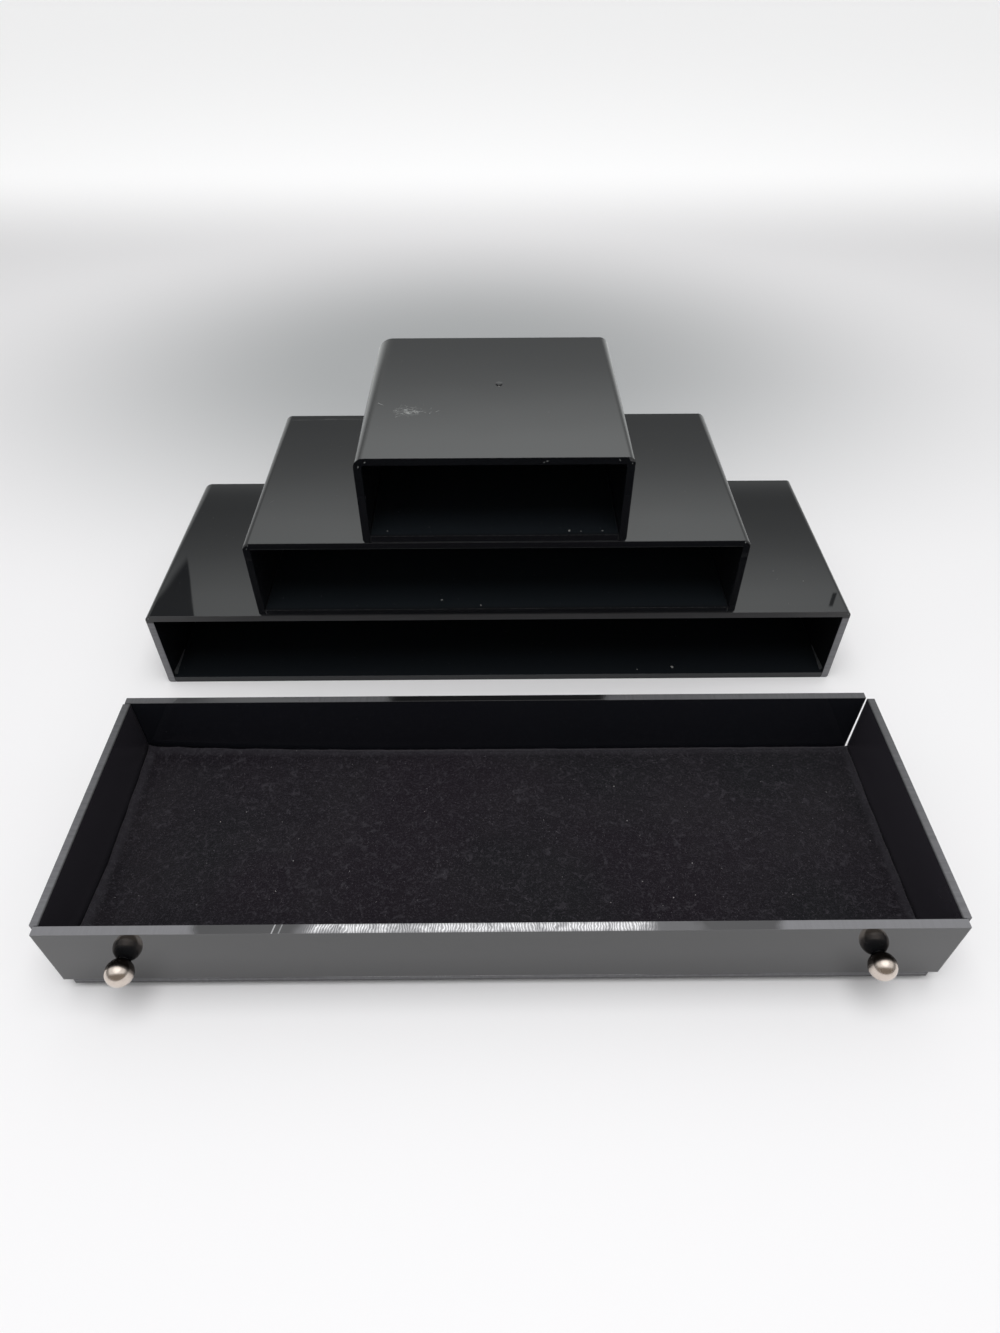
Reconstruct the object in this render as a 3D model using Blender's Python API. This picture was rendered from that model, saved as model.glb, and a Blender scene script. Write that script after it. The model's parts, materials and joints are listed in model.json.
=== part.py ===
# Stepped valet case in black acrylic sheet, with a felt-lined drawer.
#
# Three open-fronted boxes of one depth are stacked with their fronts in one plane.
# Each box is a sheet bent over its two top corners, with a floor and a back set inside it.
# The drawer belongs in the lowest and widest box. It is modelled pulled clear of the case,
# at the height where it runs, and it slides back along +Y.
#
# Metres, +Z up. The origin is the middle of the case's underside and the front faces -Y.

import math

import bmesh
import bpy
from mathutils import Matrix, Vector

# Sheet and joints
SHEET = 0.003
DRAWER_FLOOR_SHEET = 0.0025
JOINT_GAP = 0.0003
INNER_BEND = 0.001
LEG_ROUND = 0.0012

# Case
CASE_DEPTH = 0.105
LOWER_WIDTH = 0.305
LOWER_HEIGHT = 0.0398
MIDDLE_WIDTH = 0.2045
MIDDLE_HEIGHT = 0.0377
MIDDLE_SHIFT = -0.0006
UPPER_WIDTH = 0.105
UPPER_HEIGHT = 0.0377
UPPER_SHIFT = -0.0013

# Drawer: play in the lower box, joints of its panels and how far out it stands
SIDE_PLAY = 0.0015
TOP_PLAY = 0.0009
BACK_PLAY = 0.0004
PULLED_OUT = 0.0444
FRONT_END_INSET = 0.0015
BACK_LEFT_INSET = 0.0005
BACK_CORNER_GAP = 0.0013
FLOOR_END_GAP = 0.0015

# Felt liner: thickness, play to the panels and the curl of its edges
FELT = 0.0012
FELT_PLAY = 0.0006
CURL_WIDTH = 0.009
LEFT_CURL_MIDDLE = 0.003
LEFT_CURL_ENDS = 0.009
RIGHT_CURL_BACK = 0.0006
RIGHT_CURL_FRONT = 0.0034
BACK_CURL_LEFT = 0.005
BACK_CURL_LENGTH = 0.12
FELT_CELLS_X = 34
FELT_CELLS_Y = 15

# Ball knobs and their screws
KNOB_DIAMETER = 0.0092
KNOB_FROM_END = 0.0257
KNOB_SEAT_RING = 0.0003
KNOB_BORE_DEPTH = 0.0048
SCREW_DIAMETER = 0.003
SCREW_CLEARANCE = 0.0003
SCREW_TIP_GAP = 0.0006
SCREW_TIP_CHAMFER = 0.0004
SCREW_HEAD_DIAMETER = 0.0056
SCREW_HEAD_HEIGHT = 0.0018
SCREW_HEAD_RIM = 0.0008
RECESS_LENGTH = 0.0032
RECESS_WIDTH = 0.0007
RECESS_DEPTH = 0.0009

# Fineness of round shapes
BEND_STEPS = 8
LEG_STEPS = 4
BALL_STEPS = 18
HEAD_STEPS = 6
TURN_STEPS = 40
SMOOTH_ANGLE = math.radians(35)
MERGE_DISTANCE = 0.00001

# Sizes worked out from the ones above
BEND_RADIUS = SHEET + INNER_BEND
CASE_FRONT = -CASE_DEPTH / 2
CASE_BACK = CASE_DEPTH / 2
MIDDLE_BASE = LOWER_HEIGHT + JOINT_GAP
UPPER_BASE = MIDDLE_BASE + MIDDLE_HEIGHT + JOINT_GAP
DRAWER_WIDTH = LOWER_WIDTH - 2 * SHEET - 2 * SIDE_PLAY
DRAWER_DEPTH = CASE_DEPTH - SHEET - BACK_PLAY
DRAWER_HEIGHT = LOWER_HEIGHT - 2 * SHEET - JOINT_GAP - TOP_PLAY
DRAWER_HALF = DRAWER_WIDTH / 2
WALL_INNER = DRAWER_HALF - SHEET
DRAWER_PLACE = Vector((0.0, CASE_FRONT - PULLED_OUT - DRAWER_DEPTH, SHEET + JOINT_GAP))
PANEL_BASE = DRAWER_FLOOR_SHEET + JOINT_GAP
KNOB_X = DRAWER_HALF - KNOB_FROM_END
KNOB_Z = DRAWER_HEIGHT / 2
KNOB_RADIUS = KNOB_DIAMETER / 2
BORE_RADIUS = SCREW_DIAMETER / 2 + SCREW_CLEARANCE
KNOB_SEAT = math.sqrt(KNOB_RADIUS ** 2 - (BORE_RADIUS + KNOB_SEAT_RING) ** 2)
KNOB_STANDOFF = KNOB_SEAT + JOINT_GAP


def clear_scene():
    for obj in list(bpy.data.objects):
        bpy.data.objects.remove(obj, do_unlink=True)


def make_material(name, colour, roughness, metallic):
    material = bpy.data.materials.new(name)
    material.use_nodes = True
    shader = material.node_tree.nodes["Principled BSDF"]
    shader.inputs["Base Color"].default_value = (*colour, 1.0)
    shader.inputs["Roughness"].default_value = roughness
    shader.inputs["Metallic"].default_value = metallic
    return material


def add_object(name, bm, material, parent=None, smooth=False):
    bmesh.ops.recalc_face_normals(bm, faces=bm.faces)
    mesh = bpy.data.meshes.new(name)
    bm.to_mesh(mesh)
    bm.free()
    mesh.materials.append(material)
    if smooth:
        mesh.shade_smooth()
        mesh.set_sharp_from_angle(angle=SMOOTH_ANGLE)
    obj = bpy.data.objects.new(name, mesh)
    bpy.context.collection.objects.link(obj)
    obj.parent = parent
    return obj


def box_mesh(low, high):
    low, high = Vector(low), Vector(high)
    size = high - low
    place = Matrix.Translation((low + high) / 2) @ Matrix.Diagonal((*size, 1.0))
    bm = bmesh.new()
    bmesh.ops.create_cube(bm, size=1.0, matrix=place)
    return bm


def add_panel(name, low, high, material, parent=None):
    return add_object(name, box_mesh(low, high), material, parent)


def arc_points(centre_x, centre_z, radius, start, end, steps):
    angles = [math.radians(start + (end - start) * i / steps) for i in range(steps + 1)]
    return [(centre_x + radius * math.cos(a), centre_z + radius * math.sin(a)) for a in angles]


def shell_outline(width, height):
    # Seen from the front: up the left leg's outside, over the top, and back along the inside.
    half = width / 2
    inner = half - SHEET
    left_foot = arc_points(-half + LEG_ROUND, LEG_ROUND, LEG_ROUND, 270, 180, LEG_STEPS)
    bend_x = -half + BEND_RADIUS
    bend_z = height - BEND_RADIUS
    left_bend = arc_points(bend_x, bend_z, BEND_RADIUS, 180, 90, BEND_STEPS)
    inner_bend = arc_points(bend_x, bend_z, INNER_BEND, 90, 180, BEND_STEPS)
    outer = left_foot + left_bend
    inside = inner_bend + [(-inner, 0.0)]
    mirrored_outer = [(-x, z) for x, z in reversed(outer)]
    mirrored_inside = [(-x, z) for x, z in reversed(inside)]
    return outer + mirrored_outer + mirrored_inside + inside


def add_shell(name, width, height, base, shift, material):
    bm = bmesh.new()
    corners = [bm.verts.new((x + shift, CASE_FRONT, z + base)) for x, z in shell_outline(width, height)]
    face = bm.faces.new(corners)
    grown = bmesh.ops.extrude_face_region(bm, geom=[face])
    moved = [item for item in grown["geom"] if isinstance(item, bmesh.types.BMVert)]
    bmesh.ops.translate(bm, verts=moved, vec=(0.0, CASE_DEPTH, 0.0))
    return add_object(name, bm, material, smooth=True)


def add_tier(prefix, width, height, base, shift, material):
    inner = width / 2 - SHEET - JOINT_GAP
    floor_top = base + SHEET
    add_shell(f"{prefix}_shell", width, height, base, shift, material)
    add_panel(f"{prefix}_floor",
              (shift - inner, CASE_FRONT, base),
              (shift + inner, CASE_BACK, floor_top), material)
    add_panel(f"{prefix}_back",
              (shift - inner, CASE_BACK - SHEET, floor_top + JOINT_GAP),
              (shift + inner, CASE_BACK, base + height - SHEET - JOINT_GAP), material)


def turned_mesh(profile):
    # The profile runs from pole to pole as (radius, distance along -Y), and is spun about Y.
    bm = bmesh.new()
    chain = [bm.verts.new((radius, -along, 0.0)) for radius, along in profile]
    edges = [bm.edges.new(pair) for pair in zip(chain, chain[1:])]
    bmesh.ops.spin(bm, geom=chain + edges, cent=(0, 0, 0), axis=(0, 1, 0),
                   angle=math.tau, steps=TURN_STEPS, use_merge=True)
    bmesh.ops.remove_doubles(bm, verts=bm.verts, dist=MERGE_DISTANCE)
    return bm


def knob_profile():
    # Distances are from the ball's centre, and the flat seat faces the panel.
    sweep = math.pi - math.acos(KNOB_SEAT / KNOB_RADIUS)
    turns = [sweep * i / BALL_STEPS for i in range(BALL_STEPS + 1)]
    ball = [(KNOB_RADIUS * math.sin(a), KNOB_RADIUS * math.cos(a)) for a in turns]
    pole = [(0.0, KNOB_RADIUS)]
    bore_end = KNOB_BORE_DEPTH - KNOB_SEAT
    bore = [(BORE_RADIUS, -KNOB_SEAT), (BORE_RADIUS, bore_end), (0.0, bore_end)]
    return pole + ball[1:] + bore


def screw_profile():
    # Distances are from the head's underside, with the shank along -Y.
    rim = SCREW_HEAD_DIAMETER / 2
    crown = SCREW_HEAD_HEIGHT - SCREW_HEAD_RIM
    shank = SCREW_DIAMETER / 2
    reach = SHEET + 2 * JOINT_GAP + KNOB_BORE_DEPTH - SCREW_TIP_GAP
    turns = [math.pi / 2 * i / HEAD_STEPS for i in range(HEAD_STEPS + 1)]
    dome = [(rim * math.sin(a), -SCREW_HEAD_RIM - crown * math.cos(a)) for a in turns]
    end = [(rim, 0.0), (shank, 0.0), (shank, reach - SCREW_TIP_CHAMFER),
           (shank - SCREW_TIP_CHAMFER, reach), (0.0, reach)]
    return [(0.0, -SCREW_HEAD_HEIGHT)] + dome[1:] + end


def hide_cutter(cutter):
    cutter.display_type = "WIRE"
    cutter.hide_render = True


def cut(target, cutter):
    modifier = target.modifiers.new(f"cut_{cutter.name}", "BOOLEAN")
    modifier.operation = "DIFFERENCE"
    modifier.solver = "EXACT"
    modifier.object = cutter


def add_hole_cutter(name, x, material, parent):
    bm = bmesh.new()
    turn = Matrix.Rotation(math.pi / 2, 4, "X")
    place = Matrix.Translation((x, SHEET / 2, KNOB_Z))
    bmesh.ops.create_cone(bm, cap_ends=True, segments=TURN_STEPS, radius1=BORE_RADIUS,
                          radius2=BORE_RADIUS, depth=2 * SHEET, matrix=place @ turn)
    cutter = add_object(name, bm, material, parent)
    hide_cutter(cutter)
    return cutter


def add_knob(side, x, material, screw_material, parent):
    knob = add_object(f"{side}_knob", turned_mesh(knob_profile()), material, parent, True)
    knob.location = (x, -KNOB_STANDOFF, KNOB_Z)
    screw = add_object(f"{side}_knob_screw", turned_mesh(screw_profile()), screw_material, parent, True)
    screw.location = (x, SHEET + JOINT_GAP, KNOB_Z)
    arms = (("level", RECESS_LENGTH, RECESS_WIDTH), ("upright", RECESS_WIDTH, RECESS_LENGTH))
    for turn, across, up in arms:
        low = (-across / 2, SCREW_HEAD_HEIGHT - RECESS_DEPTH, -up / 2)
        high = (across / 2, SCREW_HEAD_HEIGHT + RECESS_DEPTH, up / 2)
        cutter = add_panel(f"{side}_{turn}_recess_cutter", low, high, screw_material, screw)
        hide_cutter(cutter)
        cut(screw, cutter)


def curl_share(distance):
    return max(0.0, 1.0 - distance / CURL_WIDTH) ** 2


def felt_height(x, y, half, near, far):
    # How far the felt stands above where it lies flat, at a point of its plan.
    along = (y - near) / (far - near)
    from_middle = 2 * along - 1
    left_rise = LEFT_CURL_MIDDLE + (LEFT_CURL_ENDS - LEFT_CURL_MIDDLE) * from_middle ** 2
    right_rise = RIGHT_CURL_BACK + (RIGHT_CURL_FRONT - RIGHT_CURL_BACK) * (1 - along) ** 2
    back_rise = BACK_CURL_LEFT * max(0.0, 1 - (x + half) / BACK_CURL_LENGTH) ** 2
    left = left_rise * curl_share(x + half)
    right = right_rise * curl_share(half - x)
    back = back_rise * curl_share(far - y)
    return math.hypot(left, back) + right


def add_felt(material, parent):
    # The grid's lines crowd towards the edges, where the felt curls.
    half = WALL_INNER - FELT_PLAY
    near = SHEET + FELT_PLAY
    far = DRAWER_DEPTH - SHEET - FELT_PLAY
    bm = bmesh.new()
    bmesh.ops.create_grid(bm, x_segments=FELT_CELLS_X, y_segments=FELT_CELLS_Y, size=1.0)
    for vert in bm.verts:
        x = half * math.sin(math.pi / 2 * vert.co.x)
        share = (1 + math.sin(math.pi / 2 * vert.co.y)) / 2
        y = near + (far - near) * share
        vert.co = (x, y, PANEL_BASE + felt_height(x, y, half, near, far))
    grown = bmesh.ops.extrude_face_region(bm, geom=list(bm.faces))
    moved = [item for item in grown["geom"] if isinstance(item, bmesh.types.BMVert)]
    bmesh.ops.translate(bm, verts=moved, vec=(0.0, 0.0, FELT))
    return add_object("felt_liner", bm, material, parent, True)


def add_drawer(acrylic, felt, nickel, steel):
    slide = bpy.data.objects.new("drawer_slide", None)
    slide.location = DRAWER_PLACE
    bpy.context.collection.objects.link(slide)

    floor_half = WALL_INNER - FLOOR_END_GAP
    add_panel("drawer_floor", (-floor_half, 0.0, 0.0),
              (floor_half, DRAWER_DEPTH, DRAWER_FLOOR_SHEET), acrylic, slide)

    front_half = DRAWER_HALF - FRONT_END_INSET
    front = add_panel("drawer_front", (-front_half, 0.0, PANEL_BASE),
                      (front_half, SHEET, DRAWER_HEIGHT), acrylic, slide)
    add_panel("drawer_back",
              (-DRAWER_HALF + BACK_LEFT_INSET, DRAWER_DEPTH - SHEET, PANEL_BASE),
              (WALL_INNER - BACK_CORNER_GAP, DRAWER_DEPTH, DRAWER_HEIGHT), acrylic, slide)

    wall_near = SHEET + JOINT_GAP
    wall_far = DRAWER_DEPTH - SHEET - JOINT_GAP
    add_panel("drawer_left_wall", (-DRAWER_HALF, wall_near, 0.0),
              (-WALL_INNER, wall_far, DRAWER_HEIGHT), acrylic, slide)
    add_panel("drawer_right_wall", (WALL_INNER, wall_near, 0.0),
              (DRAWER_HALF, wall_far, DRAWER_HEIGHT), acrylic, slide)

    add_felt(felt, slide)
    for side, x in (("left", -KNOB_X), ("right", KNOB_X)):
        cut(front, add_hole_cutter(f"{side}_hole_cutter", x, acrylic, slide))
        add_knob(side, x, nickel, steel, slide)


def main():
    clear_scene()
    acrylic = make_material("black_acrylic", (0.010, 0.010, 0.011), 0.08, 0.0)
    felt = make_material("black_felt", (0.016, 0.014, 0.019), 0.95, 0.0)
    nickel = make_material("nickel", (0.72, 0.66, 0.60), 0.12, 1.0)
    steel = make_material("screw_steel", (0.55, 0.55, 0.56), 0.3, 1.0)

    add_tier("lower", LOWER_WIDTH, LOWER_HEIGHT, 0.0, 0.0, acrylic)
    add_tier("middle", MIDDLE_WIDTH, MIDDLE_HEIGHT, MIDDLE_BASE, MIDDLE_SHIFT, acrylic)
    add_tier("upper", UPPER_WIDTH, UPPER_HEIGHT, UPPER_BASE, UPPER_SHIFT, acrylic)
    add_drawer(acrylic, felt, nickel, steel)
    bpy.context.view_layer.update()


main()
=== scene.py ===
# Valet box in black acrylic: finishes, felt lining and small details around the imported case.
# Metres, +Z up, the open fronts face -Y. The drawer stands pulled out in front of the case.

import json
import math
import random

import bmesh
import bpy
from mathutils import Matrix, Vector, noise

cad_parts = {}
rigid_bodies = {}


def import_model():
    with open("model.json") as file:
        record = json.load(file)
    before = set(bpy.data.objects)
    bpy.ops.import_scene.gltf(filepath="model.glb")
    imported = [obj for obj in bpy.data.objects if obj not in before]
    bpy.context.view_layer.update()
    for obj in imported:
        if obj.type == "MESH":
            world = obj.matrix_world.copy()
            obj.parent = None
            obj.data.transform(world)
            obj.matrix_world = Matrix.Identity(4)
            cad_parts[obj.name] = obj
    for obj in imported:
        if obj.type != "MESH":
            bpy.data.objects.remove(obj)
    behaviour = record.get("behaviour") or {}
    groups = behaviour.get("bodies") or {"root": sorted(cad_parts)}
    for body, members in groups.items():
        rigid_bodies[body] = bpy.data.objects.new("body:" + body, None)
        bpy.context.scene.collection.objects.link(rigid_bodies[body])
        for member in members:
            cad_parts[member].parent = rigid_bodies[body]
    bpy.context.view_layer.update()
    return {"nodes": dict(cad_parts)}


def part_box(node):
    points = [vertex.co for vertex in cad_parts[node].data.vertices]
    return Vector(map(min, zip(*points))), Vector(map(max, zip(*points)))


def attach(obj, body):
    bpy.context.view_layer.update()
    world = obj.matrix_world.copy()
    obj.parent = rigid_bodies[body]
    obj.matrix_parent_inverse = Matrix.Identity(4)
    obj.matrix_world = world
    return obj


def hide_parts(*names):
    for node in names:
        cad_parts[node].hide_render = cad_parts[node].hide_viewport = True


for leftover in list(bpy.data.objects):
    bpy.data.objects.remove(leftover)
bpy.context.scene.view_settings.view_transform = "Standard"
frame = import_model()
nodes = frame["nodes"]
print("frame loaded,", len(nodes), "parts")


# camera
photoView = {
    "place": (-0.00072, -0.32921, 0.27861),
    "tilt": 45.683,  # degrees up from straight down
    "turn": -0.268,
    "roll": -0.226,
    "lens": 22.871,  # mm, with 36 mm along the frame's long side
    "sensor": 36.0,
    "nearest": 0.01,
}


def makeCamera(look):
    data = bpy.data.cameras.new("photoCamera")
    data.sensor_width = look["sensor"]
    data.lens = look["lens"]
    data.clip_start = look["nearest"]
    camera = bpy.data.objects.new("photoCamera", data)
    bpy.context.collection.objects.link(camera)
    turn = Matrix.Rotation(math.radians(look["turn"]), 4, "Z")
    tilt = Matrix.Rotation(math.radians(look["tilt"]), 4, "X")
    roll = Matrix.Rotation(math.radians(look["roll"]), 4, "Z")
    camera.matrix_world = Matrix.Translation(look["place"]) @ turn @ tilt @ roll
    bpy.context.scene.camera = camera


makeCamera(photoView)
print("camera placed")


# node helpers
def setSockets(tree, node, values):
    for name, value in values.items():
        if isinstance(value, Value):
            tree.links.new(value.socket, node.inputs[name])
        else:
            node.inputs[name].default_value = value


def addNode(tree, kind, inputs=None, **settings):
    node = tree.nodes.new(kind)
    for name, value in settings.items():
        setattr(node, name, value)
    setSockets(tree, node, inputs or {})
    return node


class Value:
    # an output of a node, for use in formulas
    kind = "ShaderNodeMath"

    def __init__(self, node, output=0):
        self.tree, self.socket = node.id_data, node.outputs[output]

    def calc(self, operation, *others):
        inputs = dict(enumerate((self, *others)))
        return type(self)(addNode(self.tree, self.kind, inputs, operation=operation))

    def __add__(self, other):
        return self.calc("ADD", other)

    def __sub__(self, other):
        return self.calc("SUBTRACT", other)

    def __rsub__(self, other):
        return self * -1.0 + other

    def __mul__(self, other):
        return self.calc("MULTIPLY", other)

    def __truediv__(self, other):
        return self.calc("DIVIDE", other)

    def __abs__(self):
        return self.calc("ABSOLUTE")

    def lowest(self, other):
        return self.calc("MINIMUM", other)

    def highest(self, other):
        return self.calc("MAXIMUM", other)

    def ramp(self, fromLow, fromHigh, toLow, toHigh):
        inputs = {"Value": self, "From Min": fromLow, "From Max": fromHigh, "To Min": toLow, "To Max": toHigh}
        return Value(addNode(self.tree, "ShaderNodeMapRange", inputs))

    def smooth(self, fromLow, fromHigh):
        inputs = {"Value": self, "From Min": fromLow, "From Max": fromHigh}
        return Value(addNode(self.tree, "ShaderNodeMapRange", inputs, interpolation_type="SMOOTHSTEP"))

    def mix(self, first, second):
        # the first colour where this value is 0 and the second where it is 1
        inputs = {0: self, 6: first, 7: second}
        return Value(addNode(self.tree, "ShaderNodeMix", inputs, data_type="RGBA"), 2)

    def bump(self, distance, strength):
        inputs = {"Height": self, "Distance": distance, "Strength": strength}
        return Value(addNode(self.tree, "ShaderNodeBump", inputs))


class Place(Value):
    # a vector output
    kind = "ShaderNodeVectorMath"

    def length(self):
        return Value(addNode(self.tree, self.kind, {0: self}, operation="LENGTH"), "Value")

    def axes(self):
        node = addNode(self.tree, "ShaderNodeSeparateXYZ", {0: self})
        return [Value(node, axis) for axis in "XYZ"]

    def scaled(self, scale, turn=(0, 0, 0)):
        inputs = {"Vector": self, "Scale": scale, "Rotation": turn}
        return Place(addNode(self.tree, "ShaderNodeMapping", inputs))

    def noise(self, scale, detail=2.0, roughness=0.5, distortion=0.0):
        inputs = {"Vector": self, "Scale": scale, "Detail": detail, "Roughness": roughness,
                  "Distortion": distortion}
        return Value(addNode(self.tree, "ShaderNodeTexNoise", inputs))


def objectPlace(tree):
    return Place(addNode(tree, "ShaderNodeTexCoord"), "Object")


def lightPath(tree, name):
    return Value(addNode(tree, "ShaderNodeLightPath"), name)


def newMaterial(name):
    material = bpy.data.materials.new(name)
    material.use_nodes = True
    return material, material.node_tree, material.node_tree.nodes["Principled BSDF"]


def newGroup(formula, output, inputs):
    # a group whose one output is worked out from the place and the group's inputs
    group = bpy.data.node_groups.new(formula.__name__, "ShaderNodeTree")
    for name, value in inputs.items():
        kind = "NodeSocketVector" if isinstance(value, tuple) else "NodeSocketFloat"
        group.interface.new_socket(name, in_out="INPUT", socket_type=kind).default_value = value
    group.interface.new_socket(output, in_out="OUTPUT", socket_type="NodeSocketFloat")
    start, end = group.nodes.new("NodeGroupInput"), group.nodes.new("NodeGroupOutput")
    given = [(Place if isinstance(value, tuple) else Value)(start, name) for name, value in inputs.items()]
    setSockets(group, end, {output: formula(objectPlace(group), *given)})
    return group


def useGroup(tree, group, values):
    return Value(addNode(tree, "ShaderNodeGroup", values, node_tree=group))


# studio
studio = {
    "floorSize": 8.0,
    "floorNear": (0.86, 0.855, 0.865, 1.0),
    # painted shadow: a dimmer patch of the floor around the back of the case, white again further back
    "paintedShadeColour": (0.385, 0.396, 0.402, 1.0),
    "paintedShadeCentre": (-0.02, 0.27, 0.0), "paintedShadeHalf": (0.50, 0.36, 1.0),
    "paintedShadeSpan": (0.15, 0.88),
    "farColour": (0.96, 0.96, 0.965, 1.0),
    "farSpan": (0.50, 0.80),
    "farGlow": 0.25,  # only where the camera sees it
    "skyLight": 0.56, "skySeen": 0.86, "skyMirrored": 0.88,
    # brighter straight above, for the soft patch on the knobs
    "zenithMirrored": 0.8, "zenithSpan": (0.80, 0.97),
    # darker low down at both sides, where only mirrors see it
    "sideShade": 0.6, "sideSpan": (0.45, 0.75), "lowSpan": (0.60, 0.30),
    "boxSize": 0.8, "boxPlace": (0.0, -0.28, 1.1), "boxPower": 8.2,
}

# what the polished tops mirror: a card behind the case, dim at its foot and bright higher up
backCard = {
    "place": 0.26,
    "width": 1.3, "bottom": 0.03, "top": 0.75, "curveTop": 0.40,
    "strength": 2.0,
    "tint": (0.975, 1.0, 0.992, 1.0),
    # height on the card and its level there
    "levels": ((0.03, 0.52), (0.10, 0.52), (0.13, 0.48), (0.148, 0.40), (0.16, 0.36), (0.1696, 0.330),
               (0.187, 0.196), (0.204, 0.225), (0.22, 0.275), (0.235, 0.35), (0.25, 0.46), (0.27, 0.61),
               (0.29, 0.75), (0.31, 0.81), (0.40, 0.80)),
    "sideLevels": (0.93, 1.07), "levelReach": 0.3,
    "sideFall": 3.0, "sideLeast": 0.6,
    # a short dark streak and a dark wedge
    "darkLevel": 0.15,
    "streakCentre": (0.3043, 0.26, 0.2944), "streakHalf": (0.0020, 1.0, 0.0085), "streakRim": (0.75, 1.15),
    "wedgeSide": -0.2676, "wedgeTip": 0.2417, "wedgeLean": 0.151, "wedgeSpread": 0.86,
    "wedgeSoft": 0.0008, "wedgeFoot": (-0.003, 0.005),
}

# the dim room behind the camera, mirrored in the middle of the polished knobs
cameraFlag = {
    "place": (0.0, -0.565, 0.20),
    "aim": (0.0, -0.19, 0.02),
    "width": 2.0, "height": 0.58,
    "tint": (1.0, 0.88, 0.76, 1.0),
    "strength": 0.22,
    "softRim": 0.5,
}


def stagePlane(name, matrix):
    bm = bmesh.new()
    bm.loops.layers.uv.new("plan")
    bmesh.ops.create_grid(bm, x_segments=1, y_segments=1, size=0.5, matrix=matrix, calc_uvs=True)
    mesh = bpy.data.meshes.new(name)
    bm.to_mesh(mesh)
    bm.free()
    plane = bpy.data.objects.new(name, mesh)
    bpy.context.collection.objects.link(plane)
    return plane


def onlyInReflections(obj):
    for ray in ("camera", "diffuse", "shadow", "transmission", "volume_scatter"):
        setattr(obj, "visible_" + ray, False)


def emissionMaterial(name, tint):
    material, tree, shader = newMaterial(name)
    tree.nodes.remove(shader)
    emission = addNode(tree, "ShaderNodeEmission", {"Color": tint})
    tree.links.new(emission.outputs[0], tree.nodes["Material Output"].inputs["Surface"])
    return material, tree, emission


def makeFloor(look):
    floor = stagePlane("studioFloor", Matrix.Diagonal((look["floorSize"], look["floorSize"], 1, 1)))
    material, tree, shader = newMaterial("paleFloor")
    place = objectPlace(tree)
    # painted shadow: the floor darkens towards the patch around the back of the case
    away = ((place - look["paintedShadeCentre"]) / look["paintedShadeHalf"]).length()
    near = away.smooth(*look["paintedShadeSpan"]).mix(look["paintedShadeColour"], look["floorNear"])
    far = place.axes()[1].smooth(*look["farSpan"])
    setSockets(tree, shader, {
        "Base Color": far.mix(near, look["farColour"]),
        "Roughness": 0.5,
        "Specular IOR Level": 0.2,
        "Emission Color": (1.0, 1.0, 1.0, 1.0),
        "Emission Strength": far * lightPath(tree, "Is Camera Ray") * look["farGlow"],
    })
    floor.data.materials.append(material)


def makeLights(look):
    world = bpy.data.worlds.new("studioSky")
    bpy.context.scene.world = world
    world.use_nodes = True
    tree = world.node_tree
    x, _, z = objectPlace(tree).axes()
    seen = lightPath(tree, "Is Camera Ray") * (look["skySeen"] - look["skyLight"]) + look["skyLight"]
    zenith = z.smooth(*look["zenithSpan"]) * look["zenithMirrored"]
    side = abs(x).smooth(*look["sideSpan"]) * z.smooth(*look["lowSpan"])
    mirrored = zenith + (look["skyMirrored"] - look["skyLight"]) - side * look["sideShade"]
    strength = lightPath(tree, "Is Glossy Ray") * mirrored + seen
    setSockets(tree, tree.nodes["Background"], {"Color": (1, 1, 1, 1), "Strength": strength})

    light = bpy.data.lights.new("overheadSoftbox", "AREA")
    light.shape = "SQUARE"
    light.size = look["boxSize"]
    light.energy = look["boxPower"]
    softbox = bpy.data.objects.new("overheadSoftbox", light)
    softbox.location = look["boxPlace"]
    softbox.visible_camera = False
    softbox.visible_glossy = False
    bpy.context.collection.objects.link(softbox)


def makeBackCard(look):
    height = look["top"] - look["bottom"]
    upright = Matrix.Rotation(math.pi / 2, 4, "X")
    size = Matrix.Diagonal((look["width"], height, 1, 1))
    card = stagePlane("backCard",
                      Matrix.Translation((0, look["place"], look["bottom"] + height / 2)) @ upright @ size)
    material, tree, emission = emissionMaterial("backCardGlow", look["tint"])
    place = objectPlace(tree)
    x, _, z = place.axes()
    climb = z.ramp(look["bottom"], look["curveTop"], 0.0, 1.0)
    curve = addNode(tree, "ShaderNodeFloatCurve", {"Value": climb})
    points = curve.mapping.curves[0].points
    span = look["curveTop"] - look["bottom"]
    levels = [((up - look["bottom"]) / span, level) for up, level in look["levels"]]
    points[0].location, points[1].location = levels[0], levels[-1]
    for level in levels[1:-1]:
        points.new(*level)
    curve.mapping.update()
    across = x.ramp(-look["levelReach"], look["levelReach"], *look["sideLevels"])
    fade = (1.0 - x * x * look["sideFall"]).highest(look["sideLeast"])
    level = Value(curve) * across * fade * look["strength"]

    awayX, _, awayZ = abs((place - look["streakCentre"]) / look["streakHalf"]).axes()
    level = level * awayX.highest(awayZ).smooth(*look["streakRim"]).highest(look["darkLevel"])

    side, soft = look["wedgeSide"], look["wedgeSoft"]
    leaning = (z - look["wedgeTip"]) * look["wedgeLean"] + x
    reach = side + look["wedgeTip"] * look["wedgeSpread"]
    slope = (z * look["wedgeSpread"] + x).smooth(*(reach + step for step in look["wedgeFoot"]))
    wedge = leaning.smooth(side + soft, side - soft) * slope
    level = level * (wedge * (look["darkLevel"] - 1.0) + 1.0)
    setSockets(tree, emission, {"Strength": level})
    card.data.materials.append(material)
    onlyInReflections(card)


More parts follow.
